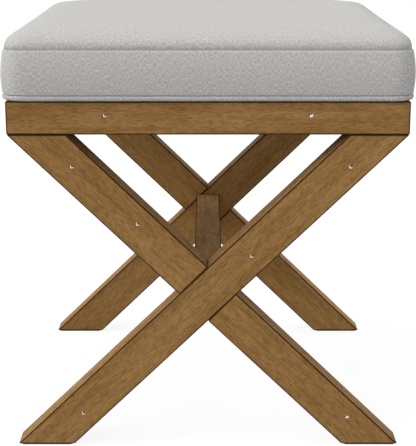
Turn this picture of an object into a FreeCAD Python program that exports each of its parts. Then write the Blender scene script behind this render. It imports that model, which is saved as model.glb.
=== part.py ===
import FreeCAD, Part
import math
import os
import Sketcher
from FreeCAD import Placement, Rotation, Vector

# Vanity stool: a crowned box cushion on an apron with two X-shaped end frames and a stretcher.
# Millimetres. X runs across the X frames, Y from the front frame to the back one, Z up.
# The origin is on the floor, under the middle of the seat.

# Driving sizes, each set once
SIZES = {
    "frame_width": 432,
    "frame_depth": 419,
    "frame_height": 395.3,
    "rail_height": 36,
    "stock_thickness": 32,
    "leg_width": 44.5,
    "edge_chamfer": 1,
    "foot_pad_thickness": 1.5,
    "foot_pad_inset": 2,
    "foot_pad_corner": 3,
    "bearer_width": 22,
    "bearer_height": 30,
    "bearer_gap": 15,
    "block_reach": 48,
    "block_tip": 10,
    "block_height": 30,
    "dowel_diameter": 8,
    "dowel_depth": 20,
    "dowel_spacing": 18,
    "dowel_face_distance": 11,
    "stretcher_dowel_depth": 15,
    "bore_clearance": 0.1,
    "bore_spare": 1,
    "pin_diameter": 4.6,
    "pin_sink": 0.6,
    "pin_cup_depth": 1.6,
    "pin_rim": 0.35,
    "leg_pin_length": 26,
    "rail_pin_bite": 24,
    "screw_diameter": 4,
    "screw_head_diameter": 8,
    "screw_head_height": 2.5,
    "screw_length": 40,
    "block_screw_inset": 24,
    "block_screw_seat": 20,
    "end_screw_drop": 9,
    "side_screw_drop": 21,
    "seat_screw_inset": 12,
    "board_thickness": 12,
    "fabric_thickness": 1.2,
    "wadding_thickness": 4.5,
    "soft_clearance": 0.3,
    "piping_diameter": 6.5,
    "piping_cord_diameter": 4,
    "piping_proud": 2.2,
    "base_overhang": 3.4,
    "seam_overhang": 1.3,
    "boxing_bulge": 2.8,
    "seam_rise": 54.5,
    "cushion_corner": 19,
    "shoulder_radius": 16,
    "shoulder_turn": 56,
    "crown_radius": 42,
    "dome_radius": 220,
    "dome_turn": 8,
    "crown_spread": 0.1,
    "dust_cover_thickness": 0.5,
    "dust_cover_inset": 16,
    "flange_width": 25,
    "staple_width": 10,
    "staple_wire": 0.5,
    "staple_breadth": 1.2,
    "staple_leg": 8,
    "staple_inset": 9,
}

# Hand-driven pins in each X frame: the leg, the place it is measured from, the distance along the
# leg's centre line from there, and how far off that line it was driven
LEG_PINS = {
    "through_top": ("through", "top", 46, -4),
    "through_middle": ("through", "crossing", 65, -2),
    "through_foot": ("through", "foot", 57, -3),
    "half_top": ("half", "top", 51, 1),
    "half_middle": ("half", "crossing", 111, 4),
    "half_foot": ("half", "foot", 42, 5),
}

# Lengths and heights worked out from the driving sizes
WORKED = {
    "half_width": "=Sizes.frame_width / 2",
    "half_depth": "=Sizes.frame_depth / 2",
    "inner_half_width": "=Sizes.frame_width / 2 - Sizes.stock_thickness",
    "inner_half_depth": "=Sizes.frame_depth / 2 - Sizes.stock_thickness",
    "rail_underside": "=Sizes.frame_height - Sizes.rail_height",
    "bearer_middle": "=inner_half_width - Sizes.block_reach - Sizes.bearer_gap"
                     " - Sizes.bearer_width / 2",
    "leg_rise": "=rail_underside - Sizes.foot_pad_thickness",
    "leg_cut": "=Sizes.leg_width * (leg_rise * sqrt(leg_rise ^ 2 + Sizes.frame_width ^ 2"
               " - Sizes.leg_width ^ 2) - Sizes.leg_width * Sizes.frame_width)"
               " / (leg_rise ^ 2 - Sizes.leg_width ^ 2)",
    "leg_run": "=Sizes.frame_width - leg_cut",
    "leg_length": "=sqrt(leg_rise ^ 2 + leg_run ^ 2)",
    "leg_cosine": "=leg_run / leg_length",
    "leg_sine": "=leg_rise / leg_length",
    "leg_angle": "=atan(leg_rise / leg_run)",
    "crossing_height": "=Sizes.foot_pad_thickness + leg_rise / 2",
    "crossing_top": "=Sizes.foot_pad_thickness + leg_rise * half_width / leg_run",
    "crossing_bottom": "=Sizes.foot_pad_thickness + leg_rise * (half_width - leg_cut) / leg_run",
    "flange_rise": "=Sizes.dust_cover_thickness",
    "board_rise": "=Sizes.dust_cover_thickness + Sizes.fabric_thickness",
    "board_top": "=board_rise + Sizes.board_thickness",
    "piping_rise": "=Sizes.soft_clearance + Sizes.piping_diameter / 2",
    "piping_overhang": "=Sizes.base_overhang + Sizes.piping_proud - Sizes.piping_diameter / 2",
    "boxing_bottom": "=2 * Sizes.soft_clearance + Sizes.piping_diameter",
    "wadding_bottom": "=boxing_bottom + Sizes.fabric_thickness + Sizes.soft_clearance",
    "wadding_inset": "=Sizes.fabric_thickness + Sizes.soft_clearance",
    "foam_inset": "=wadding_inset + Sizes.wadding_thickness + Sizes.soft_clearance",
    "board_overhang": "=Sizes.base_overhang - foam_inset",
    "tuck_inside": "=board_overhang + Sizes.soft_clearance",
    "tuck_outside": "=tuck_inside + Sizes.fabric_thickness",
    "crown_centre_inset": "=Sizes.shoulder_radius * (1 - cos(Sizes.shoulder_turn))"
                          " + Sizes.crown_radius * cos(Sizes.shoulder_turn)",
    "crown_centre_rise": "=(Sizes.shoulder_radius - Sizes.crown_radius)"
                         " * sin(Sizes.shoulder_turn)",
    "dome_centre_inset": "=crown_centre_inset + (Sizes.dome_radius - Sizes.crown_radius)"
                         " * sin(Sizes.dome_turn)",
    "dome_centre_rise": "=crown_centre_rise - (Sizes.dome_radius - Sizes.crown_radius)"
                        " * cos(Sizes.dome_turn)",
}

STAPLES_PER_EDGE = 4

# Flat sides round each pin, and round each dowel, screw and cord that stays out of sight
PIN_SIDES = 12
HIDDEN_SIDES = 8
PIPING_SIDES = 8

# How many ruled bands make up each stretch of the cushion's side and crown
COVER_BANDS = {"boxing": 3, "shoulder": 3, "crown": 2, "dome": 2}
FILLING_BANDS = {"boxing": 2, "shoulder": 2, "crown": 1, "dome": 2}

PLANE_X = Vector(1, 0, 0)
PLANE_Y = Vector(0, 1, 0)
PLANE_Z = Vector(0, 0, 1)

doc = FreeCAD.newDocument("VanityStool")
parts = []


def make_sheet(name, cells):
    """Fill one sheet: the alias beside its value, row by row."""
    sheet = doc.addObject("Spreadsheet::Sheet", name)
    for row, (alias, text) in enumerate(cells.items(), 1):
        sheet.set(f"A{row}", alias)
        sheet.set(f"B{row}", str(text))
        sheet.setAlias(f"B{row}", alias)
    doc.recompute()
    return sheet


def pin_cells():
    """The setback and drift of each hand-driven pin, as cells of their own."""
    cells = {}
    for name, (_, _, setback, drift) in LEG_PINS.items():
        cells[f"{name}_pin_setback"] = setback
        cells[f"{name}_pin_drift"] = drift
    return cells


sizes = make_sheet("Sizes", {**SIZES, **pin_cells()})
make_sheet("Worked", WORKED)


def size(name):
    """How an expression names a cell of either sheet."""
    return f"Worked.{name}" if name in WORKED else f"Sizes.{name}"


def number(text):
    """The present value of an expression."""
    value = sizes.evalExpression(str(text))
    return float(getattr(value, "Value", value))


def place(item, x="0", y="0", z="0", axis=PLANE_Z, turn=None):
    """Put an object at a point, turned about an axis, with each value bound to its expression."""
    angle = number(turn) if turn is not None else 0
    item.Placement = Placement(Vector(number(x), number(y), number(z)), Rotation(axis, angle))
    for letter, text in zip("xyz", (x, y, z)):
        item.setExpression(f"Placement.Base.{letter}", str(text))
    if turn is not None:
        item.setExpression("Placement.Rotation.Angle", str(turn))


def finish(item, label):
    """Name a finished piece and put it on the list of what is written out."""
    item.Label = label
    parts.append(item)
    return item


# Sketches


def new_body(name):
    return doc.addObject("PartDesign::Body", name)


def new_sketch(body, name, role, offset="0"):
    """An empty sketch on one of the body's own origin planes, moved along its normal."""
    plane = next(item for item in body.Origin.OriginFeatures if item.Role == role)
    sketch = body.newObject("Sketcher::SketchObject", name)
    sketch.AttachmentSupport = [(plane, "")]
    sketch.MapMode = "FlatFace"
    sketch.setExpression("AttachmentOffset.Base.z", offset)
    return sketch


def draw_polygon(sketch, corners):
    """Closed polygon with every corner held by its two expressions."""
    values = [Vector(number(across), number(up), 0) for across, up in corners]
    lines = []
    for start, end in zip(values, values[1:] + values[:1]):
        lines.append(sketch.addGeometry(Part.LineSegment(start, end), False))
    for line, following in zip(lines, lines[1:] + lines[:1]):
        sketch.addConstraint(Sketcher.Constraint("Coincident", line, 2, following, 1))
    for line, value, (across, up) in zip(lines, values, corners):
        sideways = sketch.addConstraint(Sketcher.Constraint("DistanceX", -1, 1, line, 1, value.x))
        sketch.setExpression(f"Constraints[{sideways}]", across)
        upright = sketch.addConstraint(Sketcher.Constraint("DistanceY", -1, 1, line, 1, value.y))
        sketch.setExpression(f"Constraints[{upright}]", up)


def draw_rounded_rectangle(sketch, half_x, half_y, corner):
    """Rectangle about the origin with tangent corner arcs, held by its three sizes."""
    reach_x, reach_y, radius = number(half_x), number(half_y), number(corner)
    arcs = []
    lines = []
    for turn, (side_x, side_y) in enumerate(((1, 1), (-1, 1), (-1, -1), (1, -1))):
        centre = Vector(side_x * (reach_x - radius), side_y * (reach_y - radius), 0)
        circle = Part.Circle(centre, PLANE_Z, radius)
        start = turn * math.pi / 2
        arcs.append(sketch.addGeometry(
            Part.ArcOfCircle(circle, start, start + math.pi / 2), False))
    for arc, following in zip(arcs, arcs[1:] + arcs[:1]):
        start = sketch.getPoint(arc, 2)
        end = sketch.getPoint(following, 1)
        lines.append(sketch.addGeometry(Part.LineSegment(start, end), False))
    for arc, line, following in zip(arcs, lines, arcs[1:] + arcs[:1]):
        sketch.addConstraint(Sketcher.Constraint("Tangent", arc, 2, line, 1))
        sketch.addConstraint(Sketcher.Constraint("Tangent", line, 2, following, 1))
    for line, direction in zip(lines, ("Horizontal", "Vertical", "Horizontal", "Vertical")):
        sketch.addConstraint(Sketcher.Constraint(direction, line))
    for arc in arcs[1:]:
        sketch.addConstraint(Sketcher.Constraint("Equal", arcs[0], arc))
    sketch.addConstraint(Sketcher.Constraint("Symmetric", arcs[0], 3, arcs[2], 3, -1, 1))
    held = (
        (Sketcher.Constraint("DistanceX", -1, 1, arcs[0], 1, reach_x), half_x),
        (Sketcher.Constraint("DistanceY", -1, 1, arcs[0], 2, reach_y), half_y),
        (Sketcher.Constraint("Radius", arcs[0], radius), corner),
    )
    for constraint, text in held:
        index = sketch.addConstraint(constraint)
        sketch.setExpression(f"Constraints[{index}]", text)


# Solids from sketches


def pad(body, sketch, length, midplane=False):
    feature = body.newObject("PartDesign::Pad", f"{body.Name}_pad")
    feature.Profile = sketch
    feature.Midplane = midplane
    feature.setExpression("Length", length)
    return feature


def break_edges(body, feature):
    """Small chamfer on every edge of a planed stick."""
    doc.recompute()
    chamfer = body.newObject("PartDesign::Chamfer", f"{body.Name}_edges")
    chamfer.Base = (feature, [f"Edge{index + 1}" for index in range(len(feature.Shape.Edges))])
    chamfer.setExpression("Size", size("edge_chamfer"))
    return chamfer


def stick(name, corners, front, length):
    """Planed stick: an outline seen from the front, running back from y = front."""
    body = new_body(name)
    sketch = new_sketch(body, f"{name}_outline", "XZ_Plane", f"-({front}) - ({length})")
    draw_polygon(sketch, corners)
    break_edges(body, pad(body, sketch, length))
    return body


def rectangle(left, right, low, high):
    return [(left, low), (right, low), (right, high), (left, high)]


def round_corners(radius, sides, across="0", up="0"):
    """Corners of a regular polygon about a point, which stands for a circle."""
    corners = []
    for corner in range(sides):
        angle = 360 * (corner + 0.5) / sides
        corners.append((f"{across} + ({radius}) * cos({angle})",
                        f"{up} + ({radius}) * sin({angle})"))
    return corners


def faceted(name, steps, sides):
    """Stacked lengths of an upright round bar, each given by (radius, low, high)."""
    body = new_body(name)
    for index, (radius, low, high) in enumerate(steps, 1):
        sketch = new_sketch(body, f"{name}_section_{index}", "XY_Plane", low)
        draw_polygon(sketch, round_corners(radius, sides))
        pad(body, sketch, f"{high} - ({low})")
    return body


def group(name, master, spots):
    """Copies of one solid at many spots, as one object of separate solids."""
    links = []
    for index, spot in enumerate(spots, 1):
        link = doc.addObject("App::Link", f"{name}_{index}")
        link.LinkedObject = master
        place(link, **spot)
        links.append(link)
    compound = doc.addObject("Part::Compound", name)
    compound.Links = links
    return compound


def drilled(blank, label, tools):
    """Take every bore or slot that reaches a blank out of it."""
    bores = doc.addObject("Part::Compound", f"{label}_bores")
    bores.Links = tools
    cut = doc.addObject("Part::Cut", label)
    cut.Base = blank
    cut.Tool = bores
    return finish(cut, label)


# Fasteners: each is made upright with its head or outer end at the origin


def dowel_pair(name, depth):
    """A dowel and its looser, deeper bore, both centred on the joint."""
    radius = f"{size('dowel_diameter')} / 2"
    dowel = faceted(name, [(radius, f"-{depth}", depth)], HIDDEN_SIDES)
    deep = f"({depth} + {size('bore_spare')})"
    wide = f"{radius} + {size('bore_clearance')}"
    bore = faceted(f"{name}_bore", [(wide, f"-{deep}", deep)], HIDDEN_SIDES)
    return dowel, bore


def pin_pair(name, length):
    """Sunk steel pin with a hollow end, and the hole that it sits in."""
    radius = f"{size('pin_diameter')} / 2"
    top = f"-{size('pin_sink')}"
    pin = faceted(name, [(radius, f"-({length})", top)], PIN_SIDES)
    hollow = new_sketch(pin, f"{name}_hollow", "XY_Plane", top)
    draw_polygon(hollow, round_corners(f"{radius} - {size('pin_rim')}", PIN_SIDES))
    pocket = pin.newObject("PartDesign::Pocket", f"{name}_pocket")
    pocket.Profile = hollow
    pocket.setExpression("Length", size("pin_cup_depth"))
    wide = f"{radius} + {size('bore_clearance')}"
    deep = f"-({length}) - {size('bore_spare')}"
    hole = faceted(f"{name}_hole", [(wide, deep, size("bore_spare"))], PIN_SIDES)
    return pin, hole


def screw_pair():
    """Wood screw, its origin under the head, and the bore with room for the head."""
    shank = f"{size('screw_diameter')} / 2"
    head = f"{size('screw_head_diameter')} / 2"
    tip = f"-{size('screw_length')}"
    screw = faceted("wood_screw", [(shank, tip, "0"), (head, "0", size("screw_head_height"))],
                    HIDDEN_SIDES)
    slack = size("bore_clearance")
    bore = faceted("wood_screw_bore",
                   [(f"{shank} + {slack}", f"{tip} - {size('bore_spare')}", "0"),
                    (f"{head} + {slack}", "0", size("block_reach"))], HIDDEN_SIDES)
    return screw, bore


def leg_top_spots():
    """Upright dowels in the mitred leg tops, kept inside the sloping leg."""
    spots = []
    middle = (f"{size('half_width')} - {size('leg_cut')} / 2"
              f" - {size('dowel_depth')} / 2 * {size('leg_run')} / {size('leg_rise')}")
    for end in ("-", ""):
        for side in ("-", ""):
            for step in ("-", "+"):
                spots.append({
                    "x": f"{side}({middle} {step} {size('dowel_spacing')} / 2)",
                    "y": f"{end}({size('half_depth')} - {size('dowel_face_distance')})",
                    "z": size("rail_underside"),
                })
    return spots


def crossing_spots():
    """Dowels from each half leg into the through leg, in line with the half leg."""
    spots = []
    lean = f"{size('leg_angle')} - 90 deg"
    half = f"{size('leg_width')} / 2"
    off_square = f"(2 * {size('leg_cosine')} * {size('leg_sine')})"
    for end in ("-", ""):
        for side in (1, -1):
            for step in ("-", "+"):
                reach = f"{side} * {half} / {off_square}"
                slide = f"{step} {size('dowel_spacing')} / 2"
                spots.append({
                    "x": f"-({reach}) * {size('leg_cosine')} {slide} * {size('leg_cosine')}",
                    "y": f"{end}({size('half_depth')} - {size('dowel_face_distance')})",
                    "z": f"{size('crossing_height')} + ({reach}) * {size('leg_sine')}"
                         f" {slide} * {size('leg_sine')}",
                    "axis": PLANE_Y,
                    "turn": lean,
                })
    return spots


def stretcher_spots():
    spots = []
    for end in ("-", ""):
        for step in ("-", "+"):
            spots.append({
                "y": f"{end}{size('inner_half_depth')}",
                "z": f"{size('crossing_height')} {step} {size('dowel_spacing')} / 2",
                "axis": PLANE_X,
                "turn": "90",
            })
    return spots


def rail_corner_spots():
    """Dowels from the side rails into the end rails."""
    spots = []
    for end in ("-", ""):
        for side in ("-", ""):
            for step in ("-", "+"):
                spots.append({
                    "x": f"{side}({size('half_width')} - {size('stock_thickness')} / 2)",
                    "y": f"{end}{size('inner_half_depth')}",
                    "z": f"{size('frame_height')} - {size('rail_height')} / 2"
                         f" {step} {size('dowel_spacing')} / 2",
                    "axis": PLANE_X,
                    "turn": "90",
                })
    return spots


def outward(end):
    """Face of the front or back frame, and the turn that points a pin out of it."""
    if end == "front":
        return f"-{size('half_depth')}", "90"
    return size("half_depth"), "-90"


def leg_pin_spots(end):
    """The six pins driven into one X frame from its outer face."""
    face, turn = outward(end)
    starts = {
        "top": f"({size('leg_length')} / 2 - {{}})",
        "crossing": "({})",
        "foot": f"-({size('leg_length')} / 2 - {{}})",
    }
    spots = []
    for name, (leg, start, _, _) in LEG_PINS.items():
        along = starts[start].format(size(f"{name}_pin_setback"))
        drift = size(f"{name}_pin_drift")
        lean = "" if leg == "through" else "-"
        spots.append({
            "x": f"{lean}({along} * {size('leg_cosine')})"
                 f" - {lean}({drift} * {size('leg_sine')})",
            "y": face,
            "z": f"{size('crossing_height')} + {along} * {size('leg_sine')}"
                 f" + {drift} * {size('leg_cosine')}",
            "axis": PLANE_X,
            "turn": turn,
        })
    return spots


def rail_pin_spots():
    """Pins through the end rails into the ends of the seat bearers."""
    spots = []
    for end in ("front", "back"):
        face, turn = outward(end)
        for side in ("-", ""):
            spots.append({
                "x": f"{side}{size('bearer_middle')}",
                "y": face,
                "z": f"{size('frame_height')} - {size('bearer_height')} / 2",
                "axis": PLANE_X,
                "turn": turn,
            })
    return spots


def block_screw_spots():
    """Two screws through each corner block: one into its side rail, one into its end rail."""
    spots = []
    inset = size("block_screw_inset")
    seat = size("block_screw_seat")
    for end, end_turn in (("-", "-90"), ("", "90")):
        for side, side_turn in (("-", "90"), ("", "-90")):
            spots.append({
                "x": f"{side}({size('inner_half_width')} - {seat})",
                "y": f"{end}({size('inner_half_depth')} - {inset})",
                "z": f"{size('frame_height')} - {size('side_screw_drop')}",
                "axis": PLANE_Y,
                "turn": side_turn,
            })
            spots.append({
                "x": f"{side}({size('inner_half_width')} - {inset})",
                "y": f"{end}({size('inner_half_depth')} - {seat})",
                "z": f"{size('frame_height')} - {size('end_screw_drop')}",
                "axis": PLANE_X,
                "turn": end_turn,
            })
    return spots


def seat_screw_spots():
    """Screws driven up through the corner blocks into the seat board."""
    spots = []
    inset = size("seat_screw_inset")
    for end in ("-", ""):
        for side in ("-", ""):
            spots.append({
                "x": f"{side}({size('inner_half_width')} - {inset})",
                "y": f"{end}({size('inner_half_depth')} - {inset})",
                "z": f"{size('frame_height')} - {size('block_height')}",
                "axis": PLANE_X,
                "turn": "180",
            })
    return spots


def staple_spots():
    """Staples spread evenly along each edge of the board."""
    spots = []
    for index in range(STAPLES_PER_EDGE):
        share = f"({index} + 0.5) / {STAPLES_PER_EDGE} - 0.5"
        for side in ("-", ""):
            spots.append({
                "x": f"({share}) * {size('frame_width')}",
                "y": f"{side}({size('half_depth')} - {size('staple_inset')})",
                "z": f"{size('frame_height')} + {size('flange_rise')}",
            })
            spots.append({
                "x": f"{side}({size('half_width')} - {size('staple_inset')})",
                "y": f"({share}) * {size('frame_depth')}",
                "z": f"{size('frame_height')} + {size('flange_rise')}",
                "turn": "90",
            })
    return spots


def make_staple():
    """Wire staple: the crown under the cloth and two legs up into the board."""
    body = new_body("staple")
    sketch = new_sketch(body, "staple_outline", "XZ_Plane")
    half = f"{size('staple_width')} / 2"
    wire = size("staple_wire")
    inner = f"{half} - {wire}"
    leg = size("staple_leg")
    draw_polygon(sketch, [
        (f"-{half}", f"-{wire}"), (half, f"-{wire}"), (half, leg), (inner, leg),
        (inner, "0"), (f"-({inner})", "0"), (f"-({inner})", leg), (f"-{half}", leg),
    ])
    pad(body, sketch, size("staple_breadth"), midplane=True)
    return body


# The wooden frame


def rail_outline():
    return rectangle(f"-{size('half_width')}", size("half_width"),
                     size("rail_underside"), size("frame_height"))


def through_leg_outline():
    """Lower left foot to the upper right end of the rail, mitred flat at both ends."""
    half, cut = size("half_width"), size("leg_cut")
    foot, top = size("foot_pad_thickness"), size("rail_underside")
    return [(f"-{half}", foot), (f"{cut} - {half}", foot), (half, top), (f"{half} - {cut}", top)]


def upper_half_leg_outline():
    """Upper left end of the rail down to the through leg's upper edge."""
    half, cut, top = size("half_width"), size("leg_cut"), size("rail_underside")
    return [(f"-{half}", top), (f"-{cut} / 2", size("crossing_height")),
            ("0", size("crossing_top")), (f"{cut} - {half}", top)]


def lower_half_leg_outline():
    """The through leg's lower edge down to the lower right foot."""
    half, cut, foot = size("half_width"), size("leg_cut"), size("foot_pad_thickness")
    return [(half, foot), (f"{cut} / 2", size("crossing_height")),
            ("0", size("crossing_bottom")), (f"{half} - {cut}", foot)]


def make_end_frame(end, front, bores):
    """Rail and X legs of the front or back frame, flush with each other."""
    thickness = size("stock_thickness")
    joint_bores = [bores["leg_top"], bores["crossing"], bores["stretcher"], bores[f"{end}_pins"]]
    rail_bores = [bores["leg_top"], bores["rail_corner"], bores["rail_pins"], bores["block_screws"]]
    drilled(stick(f"{end}_rail_blank", rail_outline(), front, thickness),
            f"{end}_rail", rail_bores)
    outlines = {
        "through_leg": through_leg_outline(),
        "upper_half_leg": upper_half_leg_outline(),
        "lower_half_leg": lower_half_leg_outline(),
    }
    for piece, corners in outlines.items():
        drilled(stick(f"{end}_{piece}_blank", corners, front, thickness),
                f"{end}_{piece}", joint_bores)


def make_cross_pieces(bores):
    """Everything that runs from the front frame to the back one."""
    front = f"-{size('inner_half_depth')}"
    length = f"2 * {size('inner_half_depth')}"
    outer, inner = size("half_width"), size("inner_half_width")
    top = size("frame_height")
    for side, sign in (("left", -1), ("right", 1)):
        edges = [f"{sign} * {outer}", f"{sign} * {inner}"][::sign]
        corners = rectangle(edges[1], edges[0], size("rail_underside"), top)
        drilled(stick(f"{side}_rail_blank", corners, front, length), f"{side}_rail",
                [bores["rail_corner"], bores["block_screws"]])
        middle = f"{sign} * {size('bearer_middle')}"
        half = f"{size('bearer_width')} / 2"
        corners = rectangle(f"{middle} - {half}", f"{middle} + {half}",
                            f"{top} - {size('bearer_height')}", top)
        drilled(stick(f"{side}_bearer_blank", corners, front, length), f"{side}_seat_bearer",
                [bores["rail_pins"]])
    half_thickness = f"{size('stock_thickness')} / 2"
    half_width = f"{size('leg_width')} / 2"
    corners = rectangle(f"-{half_thickness}", half_thickness,
                        f"{size('crossing_height')} - {half_width}",
                        f"{size('crossing_height')} + {half_width}")
    drilled(stick("stretcher_blank", corners, front, length), "stretcher", [bores["stretcher"]])


def make_corner_block(end, side, bores):
    """Triangular block with blunt tips, glued and screwed into one corner of the apron."""
    end_sign = -1 if end == "front" else 1
    side_sign = -1 if side == "left" else 1
    reach, tip = size("block_reach"), size("block_tip")
    name = f"{end}_{side}_corner_block"
    body = new_body(f"{name}_blank")
    sketch = new_sketch(body, f"{name}_outline", "XY_Plane",
                        f"{size('frame_height')} - {size('block_height')}")
    corners = []
    for across, along in (("0", "0"), (reach, "0"), (reach, tip), (tip, reach), ("0", reach)):
        corners.append((f"{side_sign} * ({size('inner_half_width')} - {across})",
                        f"{end_sign} * ({size('inner_half_depth')} - {along})"))
    draw_polygon(sketch, corners)
    break_edges(body, pad(body, sketch, size("block_height")))
    drilled(body, name, [bores["block_screws"], bores["seat_screws"]])


def make_foot_pad(end, side):
    """Felt pad under one foot, a little smaller than the foot, its corners cut off."""
    inset = size("foot_pad_inset")
    box = doc.addObject("Part::Box", f"{end}_{side}_pad_felt")
    box.setExpression("Length", f"{size('leg_cut')} - 2 * {inset}")
    box.setExpression("Width", f"{size('stock_thickness')} - 2 * {inset}")
    box.setExpression("Height", size("foot_pad_thickness"))
    left = {"left": f"-{size('half_width')}", "right": f"{size('half_width')} - {size('leg_cut')}"}
    front = {"front": f"-{size('half_depth')}", "back": size("inner_half_depth")}
    place(box, f"{left[side]} + {inset}", f"{front[end]} + {inset}")
    doc.recompute()
    upright = [index + 1 for index, edge in enumerate(box.Shape.Edges)
               if abs(edge.tangentAt(edge.FirstParameter).z) > 0.9]
    trimmed = doc.addObject("Part::Chamfer", f"{end}_{side}_foot_pad")
    trimmed.Base = box
    corner = number(size("foot_pad_corner"))
    trimmed.Edges = [(index, corner, corner) for index in upright]
    finish(trimmed, f"{end}_{side}_foot_pad")


# The upholstered seat. Heights here are above the top of the rails, and overhangs are how far a
# line stands out past the edge of the frame.


def boxing_overhang(rise, inset):
    """Side of the cushion at a height: drawn in at the piping and the seam, full between."""
    share = (f"(({rise} - {size('boxing_bottom')})"
             f" / ({size('seam_rise')} - {size('boxing_bottom')}))")
    lean = f"({size('seam_overhang')} - {size('base_overhang')}) * {share}"
    bulge = f"4 * {size('boxing_bulge')} * {share} * (1 - {share})"
    return f"{size('base_overhang')} + {lean} + {bulge} - {inset}"


def boxing_levels(bottom, inset, bands):
    """Sections of the boxing from a height up to the seam."""
    levels = []
    for step in range(bands["boxing"] + 1):
        rise = f"({bottom} + ({size('seam_rise')} - {bottom}) * {step} / {bands['boxing']})"
        overhang = boxing_overhang(rise, inset)
        levels.append((rise, overhang, f"{size('cushion_corner')} + {overhang}"))
    return levels


def arc_levels(radius, inset, centre, start, turn, bands):
    """Points along one arc of the crown: how far in from the seam and how far above it."""
    rounds = []
    for step in range(1, bands + 1):
        angle = f"({start} + ({turn}) * {step} / {bands})"
        reach = f"({radius} - {inset})"
        rounds.append((f"{centre[0]} - {reach} * cos({angle})",
                       f"{centre[1]} + {reach} * sin({angle})"))
    return rounds


def crown_levels(inset, bands):
    """Sections from the seam over the tight shoulder, the softer crown and the slight dome."""
    shoulder_turn, dome_turn = size("shoulder_turn"), size("dome_turn")
    crown_turn = f"90 - {dome_turn} - {shoulder_turn}"
    rounds = [(inset, "0")]
    rounds += arc_levels(size("shoulder_radius"), inset, (size("shoulder_radius"), "0"),
                         "0", shoulder_turn, bands["shoulder"])
    rounds += arc_levels(size("crown_radius"), inset,
                         (size("crown_centre_inset"), size("crown_centre_rise")),
                         shoulder_turn, crown_turn, bands["crown"])
    rounds += arc_levels(size("dome_radius"), inset,
                         (size("dome_centre_inset"), size("dome_centre_rise")),
                         f"90 - {dome_turn}", dome_turn, bands["dome"])
    levels = []
    for inward, rise in rounds:
        overhang = f"{size('seam_overhang')} - ({inward})"
        corner = (f"{size('cushion_corner')} + {size('seam_overhang')} - {inset}"
                  f" + {size('crown_spread')} * ({inward} - {inset})")
        levels.append((f"{size('seam_rise')} + {rise}", overhang, corner))
    return levels


def draw_levels(body, name, levels):
    """One rounded-rectangle sketch for each level."""
    sketches = []
    for index, (rise, overhang, corner) in enumerate(levels, 1):
        sketch = new_sketch(body, f"{name}_{index}", "XY_Plane",
                            f"{size('frame_height')} + {rise}")
        draw_rounded_rectangle(sketch, f"{size('half_width')} + {overhang}",
                               f"{size('half_depth')} + {overhang}", corner)
        sketches.append(sketch)
    return sketches


def loft(body, name, levels, kind="PartDesign::AdditiveLoft"):
    sketches = draw_levels(body, name, levels)
    doc.recompute()
    feature = body.newObject(kind, f"{name}_loft")
    feature.Profile = sketches[0]
    feature.Sections = sketches[1:]
    feature.Ruled = True
    doc.recompute()
    return feature


def ring(body, name, low, high, inside, outside):
    """Upright ring of cloth between two rounded rectangles."""
    sketch = new_sketch(body, name, "XY_Plane", f"{size('frame_height')} + {low}")
    for overhang in (outside, inside):
        draw_rounded_rectangle(sketch, f"{size('half_width')} + {overhang}",
                               f"{size('half_depth')} + {overhang}",
                               size("cushion_corner"))
    feature = body.newObject("PartDesign::Pad", f"{name}_pad")
    feature.Profile = sketch
    feature.setExpression("Length", f"{high} - ({low})")
    doc.recompute()
    return feature


def make_top_panel():
    """Crowned top panel of the cover, from the seam upwards."""
    body = new_body("seat_top_panel")
    loft(body, "top_outside", crown_levels("0", COVER_BANDS))
    loft(body, "top_inside", crown_levels(size("fabric_thickness"), COVER_BANDS),
         "PartDesign::SubtractiveLoft")
    finish(body, "seat_top_panel")


def make_boxing(staples):
    """Boxing band, turned in over the piping and stapled under the board."""
    body = new_body("seat_boxing_blank")
    bottom, fabric = size("boxing_bottom"), size("fabric_thickness")
    loft(body, "boxing_outside", boxing_levels(bottom, "0", COVER_BANDS))
    loft(body, "boxing_inside", boxing_levels(bottom, fabric, COVER_BANDS),
         "PartDesign::SubtractiveLoft")
    step_top = f"{bottom} + {fabric}"
    ring(body, "boxing_step", bottom, step_top, size("tuck_inside"),
         f"{size('base_overhang')} - {fabric} / 2")
    ring(body, "boxing_tuck", size("flange_rise"), step_top, size("tuck_inside"),
         size("tuck_outside"))
    ring(body, "boxing_flange", size("flange_rise"), size("board_rise"),
         f"{size('tuck_outside')} - {size('flange_width')}", size("tuck_outside"))
    drilled(body, "seat_boxing", [staples])


def filling_levels(bottom, inset):
    """Side and crown together, for what lies inside the cover."""
    return boxing_levels(bottom, inset, FILLING_BANDS) + crown_levels(inset, FILLING_BANDS)[1:]


def make_wadding():
    """Layer of wadding between the cover and the foam, down over the board's edge."""
    body = new_body("seat_wadding")
    bottom = size("wadding_bottom")
    inside = f"({size('wadding_inset')} + {size('wadding_thickness')})"
    for name, inset, kind in (("wadding_outside", size("wadding_inset"), "Additive"),
                              ("wadding_inside", inside, "Subtractive")):
        loft(body, name, filling_levels(bottom, inset), f"PartDesign::{kind}Loft")
    finish(body, "seat_wadding")


def make_foam():
    body = new_body("seat_foam")
    loft(body, "foam", filling_levels(size("board_top"), size("foam_inset")))
    finish(body, "seat_foam")


def rounded_sheet(name, low, thickness, overhang):
    """Flat rounded rectangle of board or cloth."""
    body = new_body(name)
    sketch = new_sketch(body, f"{name}_outline", "XY_Plane", f"{size('frame_height')} + {low}")
    draw_rounded_rectangle(sketch, f"{size('half_width')} + {overhang}",
                           f"{size('half_depth')} + {overhang}", size("cushion_corner"))
    pad(body, sketch, thickness)
    return body


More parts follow.
